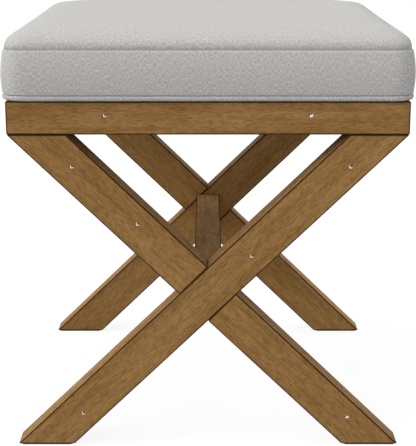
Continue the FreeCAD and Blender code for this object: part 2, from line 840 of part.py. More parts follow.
def make_piping():
    """Welt round the foot of the cushion: a cloth tube with a cord inside it."""
    centre = size("piping_overhang")
    middle = f"{size('half_width')} + {centre}"
    height = f"{size('frame_height')} + {size('piping_rise')}"
    outer = f"{size('piping_diameter')} / 2"
    cord = f"{size('piping_cord_diameter')} / 2"
    bore = f"({cord} + {size('bore_clearance')})"
    for label, steps in (("seat_piping", ((outer, "Additive"), (bore, "Subtractive"))),
                         ("piping_cord", ((cord, "Additive"),))):
        body = new_body(label)
        path = new_sketch(body, f"{label}_path", "XY_Plane", height)
        draw_rounded_rectangle(path, middle, f"{size('half_depth')} + {centre}",
                               f"{size('cushion_corner')} + {centre}")
        for radius, kind in steps:
            profile = new_sketch(body, f"{label}_{kind.lower()}_section", "XZ_Plane")
            draw_polygon(profile, round_corners(radius, PIPING_SIDES, middle, height))
            doc.recompute()
            pipe = body.newObject(f"PartDesign::{kind}Pipe", f"{label}_{kind.lower()}_pipe")
            pipe.Profile = profile
            pipe.Spine = (path, [])
            doc.recompute()
        finish(body, label)


def make_seat(screw_bores, staples):
    make_top_panel()
    make_boxing(staples)
    make_wadding()
    make_foam()
    make_piping()
    drilled(rounded_sheet("seat_board_blank", size("board_rise"), size("board_thickness"),
                          size("board_overhang")), "seat_board", [screw_bores, staples])
    drilled(rounded_sheet("dust_cover_blank", "0", size("dust_cover_thickness"),
                          f"-{size('dust_cover_inset')}"), "dust_cover", [screw_bores])


def make_fasteners():
    """Make every group of dowels, pins, screws and staples, and the bores that they need."""
    dowel, dowel_bore = dowel_pair("dowel", size("dowel_depth"))
    short_dowel, short_bore = dowel_pair("short_dowel", size("stretcher_dowel_depth"))
    leg_pin, leg_pin_hole = pin_pair("leg_pin", size("leg_pin_length"))
    rail_pin, rail_pin_hole = pin_pair(
        "rail_pin", f"{size('stock_thickness')} + {size('rail_pin_bite')}")
    screw, screw_bore = screw_pair()
    groups = (
        ("leg_top", "leg_top_dowels", dowel, dowel_bore, leg_top_spots()),
        ("crossing", "crossing_dowels", dowel, dowel_bore, crossing_spots()),
        ("stretcher", "stretcher_dowels", short_dowel, short_bore, stretcher_spots()),
        ("rail_corner", "rail_corner_dowels", dowel, dowel_bore, rail_corner_spots()),
        ("front_pins", "front_leg_pins", leg_pin, leg_pin_hole, leg_pin_spots("front")),
        ("back_pins", "back_leg_pins", leg_pin, leg_pin_hole, leg_pin_spots("back")),
        ("rail_pins", "rail_pins", rail_pin, rail_pin_hole, rail_pin_spots()),
        ("block_screws", "corner_block_screws", screw, screw_bore, block_screw_spots()),
        ("seat_screws", "seat_screws", screw, screw_bore, seat_screw_spots()),
    )
    bores = {}
    for key, label, master, bore, spots in groups:
        finish(group(label, master, spots), label)
        bores[key] = group(f"{label}_bore", bore, spots)
    staples = finish(group("cover_staples", make_staple(), staple_spots()), "cover_staples")
    return bores, staples


def check_and_write():
    """Stop if anything failed, then write one file for each piece."""
    doc.recompute()
    failed = [item.Label for item in doc.Objects
              if "Invalid" in item.State or "Error" in item.State]
    if failed:
        raise RuntimeError(f"failed objects: {failed}")
    os.makedirs("parts", exist_ok=True)
    for item in parts:
        shape = item.Shape
        if shape.isNull() or not shape.isValid() or not shape.Solids:
            raise RuntimeError(f"{item.Label} has no valid solid")
    for item in parts:
        item.Shape.exportStep(f"parts/{item.Label}.step")
        print(f"{item.Label}: {len(item.Shape.Solids)} solids, {item.Shape.Volume:.0f} mm3")


fastener_bores, cover_staples = make_fasteners()
make_end_frame("front", f"-{size('half_depth')}", fastener_bores)
make_end_frame("back", size("inner_half_depth"), fastener_bores)
make_cross_pieces(fastener_bores)
for frame_end in ("front", "back"):
    for frame_side in ("left", "right"):
        make_corner_block(frame_end, frame_side, fastener_bores)
        make_foot_pad(frame_end, frame_side)
make_seat(fastener_bores["seat_screws"], cover_staples)
check_and_write()
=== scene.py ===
# %% [markdown]
# # A vanity stool with a piped box cushion
# The wooden frame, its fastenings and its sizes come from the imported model. This script gives each
# piece its finish, makes the sewn and padded pieces as meshes, and sets up a plain studio.
# Everything is in metres, with the floor at z = 0 and the origin under the middle of the seat.

import math
from collections import namedtuple

import bmesh
import bpy
from mathutils import Euler, Matrix, Vector, noise


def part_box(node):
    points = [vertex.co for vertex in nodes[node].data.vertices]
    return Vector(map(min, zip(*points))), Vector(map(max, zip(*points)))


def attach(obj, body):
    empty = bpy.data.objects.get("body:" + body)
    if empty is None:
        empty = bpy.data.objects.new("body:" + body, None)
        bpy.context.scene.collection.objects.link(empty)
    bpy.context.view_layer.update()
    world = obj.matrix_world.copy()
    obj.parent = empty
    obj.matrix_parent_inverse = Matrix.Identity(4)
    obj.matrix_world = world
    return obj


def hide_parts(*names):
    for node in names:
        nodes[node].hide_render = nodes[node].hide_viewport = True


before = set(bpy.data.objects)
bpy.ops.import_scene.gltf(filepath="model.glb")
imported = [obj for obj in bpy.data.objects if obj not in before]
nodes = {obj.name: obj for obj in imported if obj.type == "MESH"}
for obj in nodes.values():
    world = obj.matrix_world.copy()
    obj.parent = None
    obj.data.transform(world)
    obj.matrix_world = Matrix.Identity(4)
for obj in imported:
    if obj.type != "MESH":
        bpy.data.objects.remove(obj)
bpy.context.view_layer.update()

# %% [markdown]
# ## Driving sizes
# Most places are read from the frame's own nodes, so a cushion made here sits on the rails whatever
# their size. What only the cloth has, such as the bulge of its sides, is named here. An overhang is
# measured outwards from the side of the frame.

# %% Sizes of the seat
MM = 0.001
RAIL_LOW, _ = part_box("front_rail")
_, RAIL_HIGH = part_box("back_rail")
HALF_X = RAIL_HIGH.x
HALF_Y = RAIL_HIGH.y
RAIL_UNDERSIDE = RAIL_LOW.z
PIPING_LOW, PIPING_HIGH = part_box("seat_piping")
BOARD_LOW, BOARD_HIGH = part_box("seat_board")
SLACK = 0.3 * MM
BOXING_BOTTOM = PIPING_HIGH.z + SLACK
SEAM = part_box("seat_top_panel")[0].z
CLOTH = 1.2 * MM
BASE_OVERHANG = 3.4 * MM
SEAM_OVERHANG = 1.3 * MM
BULGE = 2.8 * MM
PLAN_CORNER = 19 * MM
print("seat", round(2 * HALF_X, 4), "by", round(2 * HALF_Y, 4), "seam at", round(SEAM, 4))

# %% [markdown]
# ## Camera
# The photograph looks straight at one X frame from a little above, with a long lens. The place and
# pitch were worked out from the rail's corners and the eight corners of the feet.

# %% Camera
CAMERA_BACK = 1.5315
CAMERA_UP = 0.6057
CAMERA_PITCH = math.radians(14.58)
CAMERA_LENS = 101.24
SENSOR_WIDTH = 36
camera_data = bpy.data.cameras.new("camera")
camera_data.lens = CAMERA_LENS
camera_data.sensor_width = SENSOR_WIDTH
camera = bpy.data.objects.new("camera", camera_data)
camera.location = (0, -CAMERA_BACK, CAMERA_UP)
camera.rotation_euler = (math.pi / 2 - CAMERA_PITCH, 0, 0)
bpy.context.scene.collection.objects.link(camera)
bpy.context.scene.camera = camera
print("camera", [round(value, 4) for value in camera.location])

# %% [markdown]
# ## Shader arithmetic
# A material is easier to read as sums than as a tangle of sockets. `Value` wraps one output and turns
# Python's operators into Math nodes. `Tree` holds the nodes of a material or of the world and adds
# every other kind of node, and `Finish` is the tree of one material.

# %% Helpers for materials
class Value:
    """One number or colour inside a tree of nodes."""

    def __init__(self, tree, socket):
        self.tree = tree
        self.socket = socket

    def math(self, operation, other=0.0, swap=False):
        first, second = (other, self) if swap else (self, other)
        return self.tree.add("ShaderNodeMath", {"operation": operation}, {0: first, 1: second})

    def __add__(self, other):
        return self.math("ADD", other)

    def __sub__(self, other):
        return self.math("SUBTRACT", other)

    def __mul__(self, other):
        return self.math("MULTIPLY", other)

    def __rsub__(self, other):
        return self.math("SUBTRACT", other, swap=True)

    __radd__ = __add__
    __rmul__ = __mul__


class Tree:
    """A tree of nodes and the short ways to add to it."""

    def __init__(self, block):
        block.use_nodes = True
        self.nodes = block.node_tree.nodes
        self.links = block.node_tree.links

    def feed(self, socket, given):
        """Link a socket to a value, or set it to a plain number or colour."""
        if isinstance(given, Value):
            self.links.new(given.socket, socket)
        else:
            socket.default_value = given

    def add(self, kind, settings=None, inputs=None, output=0):
        """Add a node: its settings first, then its inputs, and hand back one of its outputs."""
        node = self.nodes.new(kind)
        for key, setting in (settings or {}).items():
            setattr(node, key, setting)
        for key, given in (inputs or {}).items():
            self.feed(node.inputs[key], given)
        return Value(self, node.outputs[output])

    def spot(self):
        """The piece's own coordinates, in metres."""
        return self.add("ShaderNodeTexCoord", output="Object")

    def mapped(self, vector, scale=(1, 1, 1), rotation=(0, 0, 0), location=(0, 0, 0)):
        return self.add("ShaderNodeMapping", {}, {
            "Vector": vector, "Location": location, "Rotation": rotation, "Scale": scale})

    def noise(self, vector, detail=2.0, roughness=0.5, distortion=0.0):
        return self.add("ShaderNodeTexNoise", {}, {
            "Vector": vector, "Scale": 1.0, "Detail": detail, "Roughness": roughness,
            "Distortion": distortion})

    def step(self, value, low, high, start=0.0, end=1.0):
        """Ease from one number to another as the value runs from low to high."""
        return self.add("ShaderNodeMapRange", {"interpolation_type": "SMOOTHSTEP"},
                        {0: value, 1: low, 2: high, 3: start, 4: end})

    def mix(self, factor, first, second):
        """Blend two colours, which are sockets 6 and 7 of a Mix node and leave by output 2."""
        return self.add("ShaderNodeMix", {"data_type": "RGBA"},
                        {0: factor, 6: first, 7: second}, output=2)

    def part(self, vector, axis):
        return self.add("ShaderNodeSeparateXYZ", {}, {0: vector}, output=axis)

    def bump(self, height, strength, distance):
        return self.add("ShaderNodeBump", {}, {
            "Height": height, "Strength": strength, "Distance": distance})


class Finish(Tree):
    """The tree of one material."""

    def __init__(self, name):
        self.material = bpy.data.materials.new(name)
        super().__init__(self.material)
        self.shader = self.nodes["Principled BSDF"]

    def set(self, **inputs):
        """Feed the shader: links for what varies, plain numbers for what is the same all over."""
        for key, given in inputs.items():
            self.feed(self.shader.inputs[key.replace("_", " ")], given)
        return self.material


def colour(red, green, blue):
    """A colour as an eye reads it on a screen, turned into light."""
    return tuple((level / 255) ** 2.2 for level in (red, green, blue)) + (1.0,)


def dress(name, material):
    """Give a node of the frame its material."""
    nodes[name].data.materials.clear()
    nodes[name].data.materials.append(material)


def box_of(points):
    """Lowest and highest corner of the box round some points."""
    low = Vector([min(point[axis] for point in points) for axis in range(3)])
    high = Vector([max(point[axis] for point in points) for axis in range(3)])
    return low, high


# %% [markdown]
# ## Wood
# The frame is planed from a golden brown hardwood and wiped with a darker stain, which gathers on the
# broken edges. Each stick has its own grain direction, so the material turns the object's own
# coordinates until x runs along the stick, then stretches noise along it. A broken edge is found by
# its distance, from the half sizes of the turned stick, and the dark lines where a leg meets the rail
# and the floor by their height. Shade under the rail is painted on the legs' thin faces. The back
# frame and the stretcher get lighter tones as painted light.

# %% Grain directions
STRETCHER_LOW, STRETCHER_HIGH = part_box("stretcher")
LEG_WIDTH = STRETCHER_HIGH.z - STRETCHER_LOW.z
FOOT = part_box("front_through_leg")[0].z
LEAN_ROUNDS = 30


def leg_lean():
    """Angle of the legs above the floor, from the height they climb and the width they use."""
    lean = math.pi / 4
    for _ in range(LEAN_ROUNDS):
        lean = math.atan2(RAIL_UNDERSIDE - FOOT, 2 * HALF_X - LEG_WIDTH / math.sin(lean))
    return lean


LEAN = leg_lean()
WOOD_TURNS = {
    "across": (0, 0, 0),
    "through": (0, LEAN, 0),
    "half": (0, -LEAN, 0),
    "depth": (0, 0, -math.pi / 2),
}
print("legs lean", round(math.degrees(LEAN), 2), "degrees")

# %% Wood finish
# How far the painted shade under the rail reaches down the thin faces of a piece.
PAINTED_SHADE_REACH = {"back_upper_half_leg": 260 * MM, "front_upper_half_leg": 60 * MM}
PAINTED_SHADE_REACH_ELSEWHERE = 30 * MM
EDGE_LINE = (0.8 * MM, 2.2 * MM)


def stick_box(piece, turn):
    """Middle and half sizes of a stick in its own turned directions."""
    spin = Euler(turn).to_matrix()
    low, high = box_of([spin @ vertex.co for vertex in nodes[piece].data.vertices])
    return (low + high) / 2, (high - low) / 2


def edge_distance(finish, spot, stick, half):
    """How far a point of a stick's surface is from the nearest of its broken edges."""
    ends, sides, faces = [
        half[axis] - finish.part(stick, axis).math("ABSOLUTE") for axis in range(3)]
    inner = sides.math("MINIMUM", faces)
    outer = sides.math("MAXIMUM", faces)
    nearest = inner.math("MAXIMUM", outer.math("MINIMUM", ends))
    height = finish.part(spot, 2)
    joint = (height - RAIL_UNDERSIDE).math("ABSOLUTE")
    return nearest.math("MINIMUM", joint).math("MINIMUM", height - FOOT)


def wood(piece, turn, place, tone=1.0):
    """Stained hardwood whose grain runs along x once the coordinates are turned."""
    finish = Finish(f"stained_{piece}")
    middle_point, half = stick_box(piece, turn)
    spot = finish.spot()
    stick = finish.mapped(spot, rotation=turn, location=-middle_point)
    facing = finish.mapped(finish.add("ShaderNodeTexCoord", output="Normal"), rotation=turn)
    grain = finish.mapped(stick, location=place)

    broad = finish.noise(finish.mapped(grain, (5, 46, 46)), detail=3, distortion=0.4)
    bands = finish.noise(finish.mapped(grain, (11, 260, 200)), detail=3, distortion=0.3)
    fibres = finish.noise(finish.mapped(grain, (70, 1300, 1100)), roughness=0.6)
    dashes = finish.noise(finish.mapped(grain, (130, 1050, 1050)), roughness=0.6)
    mottle = finish.noise(finish.mapped(grain, (44, 110, 110)))
    cross = finish.noise(finish.mapped(grain, (480, 70, 90)), roughness=0.6)

    light = colour(180 * tone, 139 * tone, 87 * tone)
    middle = colour(165 * tone, 124 * tone, 75 * tone)
    dark = colour(126 * tone, 92 * tone, 52 * tone)
    darkest = colour(96 * tone, 66 * tone, 36 * tone)
    body = finish.mix(finish.step(broad, 0.36, 0.66), middle, light)
    body = finish.mix(finish.step(bands, 0.46, 0.68) * 0.4, body, dark)
    body = finish.mix(finish.step(mottle, 0.45, 0.7) * 0.22, body, dark)
    body = finish.mix(finish.step(fibres, 0.45, 0.7) * 0.35, body, dark)
    streak = finish.step(dashes, 0.48, 0.62)
    body = finish.mix(streak * 0.45, body, darkest)

    along = finish.part(facing, 0).math("ABSOLUTE")
    thin_face = finish.step(finish.part(facing, 2).math("ABSOLUTE"), 0.8, 0.95)
    body = finish.mix(finish.step(cross, 0.48, 0.66) * thin_face * 0.25, body, darkest)
    # Painted shade: the thin faces are darkened below the rail, where its shadow falls.
    reach = PAINTED_SHADE_REACH.get(piece, PAINTED_SHADE_REACH_ELSEWHERE)
    painted_shade_under_rail = finish.step(RAIL_UNDERSIDE - finish.part(spot, 2), 0, reach, 1.0, 0.0)
    body = finish.mix(painted_shade_under_rail * thin_face * 0.6, body, darkest)
    edge = finish.step(edge_distance(finish, spot, stick, half), *EDGE_LINE, 1.0, 0.0)
    edge_stain = colour(44, 28, 15)
    body = finish.mix(edge * 0.9, body, edge_stain)
    end_grain = colour(96, 66, 36)
    body = finish.mix(finish.step(along, 0.85, 0.99) * 0.6, body, end_grain)

    relief = fibres * 0.5 + bands * 0.3 - streak * 0.8
    return finish.set(
        Base_Color=body,
        Roughness=finish.step(mottle, 0.3, 0.7, 0.55, 0.68),
        Normal=finish.bump(relief, 0.35, 0.0003),
        Specular_IOR_Level=0.06,
    )


WOOD_PIECES = {
    "front_rail": "across", "back_rail": "across",
    "front_through_leg": "through", "back_through_leg": "through",
    "front_upper_half_leg": "half", "front_lower_half_leg": "half",
    "back_upper_half_leg": "half", "back_lower_half_leg": "half",
    "left_rail": "depth", "right_rail": "depth", "stretcher": "depth",
    "left_seat_bearer": "depth", "right_seat_bearer": "depth",
    "front_left_corner_block": "across", "front_right_corner_block": "across",
    "back_left_corner_block": "across", "back_right_corner_block": "across",
}
# Painted light: the back frame and the stretcher are the same wood, painted lighter against the shade
# they stand in.
PAINTED_LIGHT_TONES = {"back_upper_half_leg": 1.1, "back_lower_half_leg": 1.15, "back_through_leg": 1.03,
         "stretcher": 1.14}
for index, (piece, run) in enumerate(WOOD_PIECES.items()):
    shift = (0.61 * index, 0.37 * index, 0.23 * index)
    dress(piece, wood(piece, WOOD_TURNS[run], shift, PAINTED_LIGHT_TONES.get(piece, 1.0)))
print(len(WOOD_PIECES), "pieces of wood")

# %% [markdown]
# ## Plain materials
# Dowels, the seat board, screws, staples and the felt pads are hardly seen, but each still has a
# finish of its own: beech with its flecks, layered plywood, zinc and matted fibre.

# %% Hidden wood, steel and felt
PLIES = 5
PADS = [f"{end}_{side}_foot_pad" for end in ("front", "back") for side in ("left", "right")]


def beech():
    finish = Finish("bare_beech")
    flecks = finish.noise(finish.mapped(finish.spot(), (900, 900, 260)))
    tone = finish.mix(finish.step(flecks, 0.45, 0.7), colour(214, 186, 142), colour(186, 152, 106))
    return finish.set(Base_Color=tone, Roughness=0.6, Normal=finish.bump(flecks, 0.2, 0.0002))


def plywood():
    """Layers show on the board's edge as bands by height."""
    finish = Finish("board_plywood")
    spot = finish.spot()
    layer = (BOARD_HIGH.z - BOARD_LOW.z) / PLIES
    ply = (finish.part(spot, 2) * (math.pi / layer)).math("SINE")
    figure = finish.noise(finish.mapped(spot, (14, 190, 40)), detail=4, distortion=0.5)
    tone = finish.mix(finish.step(ply, -0.2, 0.2), colour(204, 172, 124), colour(166, 130, 86))
    tone = finish.mix(finish.step(figure, 0.45, 0.7) * 0.4, tone, colour(150, 112, 70))
    return finish.set(Base_Color=tone, Roughness=0.7, Normal=finish.bump(figure, 0.2, 0.0002))


def steel(name, shade, roughness):
    finish = Finish(name)
    wear = finish.noise(finish.mapped(finish.spot(), (700, 700, 700)), detail=3)
    dull = tuple(0.7 * part for part in shade[:3]) + (1,)
    return finish.set(
        Base_Color=finish.mix(finish.step(wear, 0.4, 0.7), shade, dull),
        Metallic=1.0,
        Roughness=finish.step(wear, 0.3, 0.7, roughness, roughness + 0.15),
    )


def felt():
    finish = Finish("pad_felt")
    fibres = finish.noise(finish.mapped(finish.spot(), (1500, 1500, 1500)), detail=4, roughness=0.7)
    tone = finish.mix(finish.step(fibres, 0.35, 0.7), colour(38, 32, 27), colour(74, 62, 50))
    return finish.set(Base_Color=tone, Roughness=0.95, Sheen_Weight=0.4, Sheen_Roughness=0.6,
                      Normal=finish.bump(fibres, 0.6, 0.0004))


PLAIN_PIECES = (
    (beech(), ["leg_top_dowels", "crossing_dowels", "stretcher_dowels", "rail_corner_dowels"]),
    (plywood(), ["seat_board"]),
    (steel("staple_steel", colour(206, 206, 200), 0.3), ["cover_staples"]),
    (steel("zinc_steel", colour(218, 216, 204), 0.28), ["corner_block_screws", "seat_screws"]),
    (felt(), PADS),
)
for material, pieces in PLAIN_PIECES:
    for piece in pieces:
        dress(piece, material)
print("plain finishes on", sum(len(pieces) for _, pieces in PLAIN_PIECES), "nodes")

# %% [markdown]
# ## Putting a mesh in the scene
# Every new piece is made the same way: a bmesh becomes an object at the origin, takes its material,
# rides on the frame's one body and hides the node it stands for.

# %% Helper for new pieces
def add_piece(name, mesh, material, stands_for=(), smooth=True):
    """Turn a bmesh into a piece of the stool."""
    data = bpy.data.meshes.new(name)
    mesh.to_mesh(data)
    mesh.free()
    if smooth:
        data.shade_smooth()
    data.materials.append(material)
    piece = bpy.data.objects.new(name, data)
    bpy.context.scene.collection.objects.link(piece)
    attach(piece, "root")
    if stands_for:
        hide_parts(*stands_for)
    print(name, len(data.polygons), "faces")
    return piece


# %% [markdown]
# ## The cushion's form
# A box cushion is cut from two panels: a band round the side, and a top that is crowned by the foam.
# The band is drawn in where it is sewn, at the piping and at the seam, and stands full between. The
# form is built by extruding one rounded rectangle from level to level. Each level is a height, two
# half sizes and a corner radius, and a corner point keeps its bearing as it moves.

# %% Levels of the cushion
Level = namedtuple("Level", "height half_x half_y corner")
Arc = namedtuple("Arc", "radius turn")
SHOULDER = Arc(16 * MM, math.radians(56))
CROWN = Arc(42 * MM, math.radians(26))
DOME = Arc(220 * MM, math.radians(8))
CORNER_EASE = 0.1


def level(height, overhang, corner):
    return Level(height, HALF_X + overhang, HALF_Y + overhang, corner)


def side_levels(bottom, inset, rings=10):
    """The boxing, from a height up to the seam."""
    levels = []
    for index in range(rings + 1):
        height = bottom + (SEAM - bottom) * index / rings
        share = (height - BOXING_BOTTOM) / (SEAM - BOXING_BOTTOM)
        overhang = BASE_OVERHANG + (SEAM_OVERHANG - BASE_OVERHANG) * share
        overhang += 4 * BULGE * share * (1 - share) - inset
        levels.append(level(height, overhang, PLAN_CORNER + overhang))
    return levels


def crown_levels(inset, rings=(7, 5, 4)):
    """The crown, as three arcs that follow on from each other: shoulder, crown and dome."""
    levels = []
    arcs = (SHOULDER, CROWN, DOME)
    centre = Vector((SEAM_OVERHANG - SHOULDER.radius, SEAM))
    start = 0.0
    for index, arc in enumerate(arcs):
        for step in range(1, rings[index] + 1):
            angle = start + arc.turn * step / rings[index]
            overhang = centre.x + (arc.radius - inset) * math.cos(angle)
            height = centre.y + (arc.radius - inset) * math.sin(angle)
            corner = PLAN_CORNER + SEAM_OVERHANG - inset
            corner += CORNER_EASE * (SEAM_OVERHANG - overhang - inset)
            levels.append(level(height, overhang, corner))
        start += arc.turn
        if arc is not DOME:
            wider = arcs[index + 1].radius - arc.radius
            centre -= Vector((wider * math.cos(start), wider * math.sin(start)))
    return levels


# %% Raise the form
def of_kind(items, kind):
    """The vertices, edges or faces among the items that an operator made."""
    return [item for item in items if isinstance(item, kind)]


def carry(vertices, old, new):
    """Move points of one rounded rectangle to the matching points of another."""
    for vertex in vertices:
        inner_x = max(-(old.half_x - old.corner), min(old.half_x - old.corner, vertex.co.x))
        inner_y = max(-(old.half_y - old.corner), min(old.half_y - old.corner, vertex.co.y))
        out = Vector((vertex.co.x - inner_x, vertex.co.y - inner_y))
        out = out.normalized() * new.corner
        inner_x *= (new.half_x - new.corner) / (old.half_x - old.corner)
        inner_y *= (new.half_y - new.corner) / (old.half_y - old.corner)
        vertex.co = (inner_x + out.x, inner_y + out.y, new.height)


def raise_form(levels, corner_segments=10):
    """Closed form through a list of levels."""
    mesh = bmesh.new()
    bmesh.ops.create_grid(mesh, x_segments=1, y_segments=1, size=1)
    first = levels[0]
    for vertex in mesh.verts:
        vertex.co = (vertex.co.x * first.half_x, vertex.co.y * first.half_y, first.height)
    bmesh.ops.bevel(mesh, geom=mesh.verts[:], offset=first.corner, offset_type="OFFSET",
                    segments=corner_segments, profile=0.5, affect="VERTICES", material=-1)
    face = mesh.faces[:][0]
    for old, new in zip(levels, levels[1:]):
        made = bmesh.ops.extrude_face_region(mesh, geom=[face])["geom"]
        face = of_kind(made, bmesh.types.BMFace)[0]
        carry(of_kind(made, bmesh.types.BMVert), old, new)
    bmesh.ops.recalc_face_normals(mesh, faces=mesh.faces[:])
    return mesh


outer_levels = side_levels(BOXING_BOTTOM, 0) + crown_levels(0)
print("cushion rises to", round(outer_levels[-1].height, 4), "through", len(outer_levels), "levels")

# %% [markdown]
# ## Padding the cushion
# The form is made a little wide, remeshed into even quads and opened underneath. It is held along the
# seam and along the foot and blown up a little as cloth, which is how foam pushes a sewn cover out
# between its seams. How far any point may move is capped, because this is a tight cushion on firm foam.

# %% Simulate the cover
VOXEL = 5 * MM
SPREAD = 1.5 * MM
SPARE = 6 * MM
UNDERSIDE_BAND = 1.5 * MM
HELD_BAND = 3 * MM
SWELL_CAP = 1.2 * MM
SWELL_FRAMES = 12
SWELL_CLOTH = {
    "quality": 4, "mass": 0.25, "tension_stiffness": 12, "compression_stiffness": 12,
    "bending_stiffness": 0.4, "use_pressure": True, "uniform_pressure_force": 0.6,
    "vertex_group_mass": "held",
}


def evaluated_mesh(piece):
    """The mesh as its modifiers leave it."""
    graph = bpy.context.evaluated_depsgraph_get()
    return bpy.data.meshes.new_from_object(piece.evaluated_get(graph))


def remesh(piece):
    """Turn the form into even quads."""
    modifier = piece.modifiers.new("even_quads", "REMESH")
    modifier.mode = "VOXEL"
    modifier.voxel_size = VOXEL
    piece.data = evaluated_mesh(piece)
    piece.modifiers.remove(modifier)


def inflate(piece):
    """Run the cloth, then move each point by what it moved, up to the cap."""
    group = piece.vertex_groups.new(name="held")
    for vertex in piece.data.vertices:
        near_foot = vertex.co.z < BOXING_BOTTOM + HELD_BAND
        near_seam = abs(vertex.co.z - SEAM) < HELD_BAND
        if near_foot or near_seam:
            group.add([vertex.index], 1.0, "REPLACE")
    modifier = piece.modifiers.new("cover_cloth", "CLOTH")
    for key, setting in SWELL_CLOTH.items():
        setattr(modifier.settings, key, setting)
    modifier.settings.effector_weights.gravity = 0
    modifier.point_cache.frame_start = 1
    modifier.point_cache.frame_end = SWELL_FRAMES
    for number in range(1, SWELL_FRAMES + 1):
        bpy.context.scene.frame_set(number)
    after = evaluated_mesh(piece)
    furthest = 0.0
    for vertex, moved in zip(piece.data.vertices, after.vertices):
        move = moved.co - vertex.co
        furthest = max(furthest, move.length)
        if move.length > SWELL_CAP:
            move *= SWELL_CAP / move.length
        vertex.co += move
    piece.modifiers.remove(modifier)
    bpy.context.scene.frame_set(1)
    print("cloth wanted to move", round(furthest / MM, 1), "mm")


def make_cover():
    """The padded cover as one even mesh, open underneath and a little too long there."""
    levels = [Level(item.height, item.half_x + SPREAD, item.half_y + SPREAD, item.corner + SPREAD)
              for item in outer_levels]
    levels.insert(0, levels[0]._replace(height=levels[0].height - SPARE))
    data = bpy.data.meshes.new("cover")
    form = raise_form(levels)
    form.to_mesh(data)
    form.free()
    cover = bpy.data.objects.new("cover", data)
    bpy.context.scene.collection.objects.link(cover)
    remesh(cover)
    opened = bmesh.new()
    opened.from_mesh(cover.data)
    under = [face for face in opened.faces
             if face.calc_center_median().z < BOXING_BOTTOM - SPARE + UNDERSIDE_BAND]
    bmesh.ops.delete(opened, geom=under, context="FACES")
    opened.to_mesh(cover.data)
    opened.free()
    print("cover", len(cover.data.vertices), "points")
    inflate(cover)
    smooth = cover.modifiers.new("smooth", "SUBSURF")
    smooth.levels = 1
    smooth.render_levels = 1
    cover.data = evaluated_mesh(cover)
    cover.modifiers.remove(smooth)
    return cover


cover = make_cover()

# %% [markdown]
# ## Round the edge
# The side band, the piping and the seam all run round the same rounded rectangle. A point's distance
# along that run gives the cloth its u coordinate, so that the weave turns the corner with it.

# %% Distance along the edge
Run = namedtuple("Run", "half_x half_y corner")
EDGE = Run(HALF_X + BASE_OVERHANG, HALF_Y + BASE_OVERHANG, PLAN_CORNER + BASE_OVERHANG)
EDGE_LENGTH = 4 * (EDGE.half_x + EDGE.half_y - 2 * EDGE.corner) + 2 * math.pi * EDGE.corner
SAME_TURN = 1e-4


def nearest_inner(x, y):
    """The nearest point of the rectangle that the corner arcs are centred on."""
    inner_x = EDGE.half_x - EDGE.corner
    inner_y = EDGE.half_y - EDGE.corner
    return Vector((max(-inner_x, min(inner_x, x)), max(-inner_y, min(inner_y, y))))


def outward(x, y):
    """Level direction that points out of the cushion's side."""
    out = Vector((x, y)) - nearest_inner(x, y)
    return Vector((out.x, out.y, 0)).normalized() if out.length > 1e-6 else Vector((0, 0, 0))


def along_edge(x, y):
    """Distance along the edge, anticlockwise from the middle of the back."""
    inner_x = EDGE.half_x - EDGE.corner
    inner_y = EDGE.half_y - EDGE.corner
    inner = nearest_inner(x, y)
    turn = (math.atan2(y - inner.y, x - inner.x) - math.pi / 2) % (2 * math.pi)
    quarter = math.pi / 2
    if turn < SAME_TURN or turn > 2 * math.pi - SAME_TURN:
        straight = -inner.x if inner.x <= 0 else 4 * (inner_x + inner_y) - inner.x
        turn = 0 if inner.x <= 0 else 2 * math.pi
    elif turn <= quarter + SAME_TURN:
        straight = inner_x + inner_y - inner.y
    elif turn <= 2 * quarter + SAME_TURN:
        straight = inner_x + 2 * inner_y + inner.x + inner_x
    elif turn <= 3 * quarter + SAME_TURN:
        straight = 3 * inner_x + 2 * inner_y + inner.y + inner_y
    else:
        straight = 3 * inner_x + 4 * inner_y + inner_x - inner.x
    return straight + EDGE.corner * turn


def unroll(mesh, place):
    """Write a UV map in metres, and keep faces that cross the start of the run whole."""
    layer = mesh.loops.layers.uv.new("cloth")
    for face in mesh.faces:
        spots = [place(loop.vert.co) for loop in face.loops]
        latest = max(spot[0] for spot in spots)
        for loop, (u, v) in zip(face.loops, spots):
            if latest - u > EDGE_LENGTH / 2:
                u += EDGE_LENGTH
            loop[layer].uv = (u, v)


print("edge runs", round(EDGE_LENGTH, 3), "m round the cushion")

# %% [markdown]
# ## The cloth
# A light grey plain weave with the slubs of linen: threads that swell and thin along their length. Two
# noises stretched along the two directions of the UV map give the slubs, a fine product of sines the
# crossing threads. The fuzz of the fibres is the shader's sheen. A band at the seam is darkened as
# painted shade in the groove.

# %% Cloth finish
THREAD = 0.85 * MM
RIB = 2.6 * MM


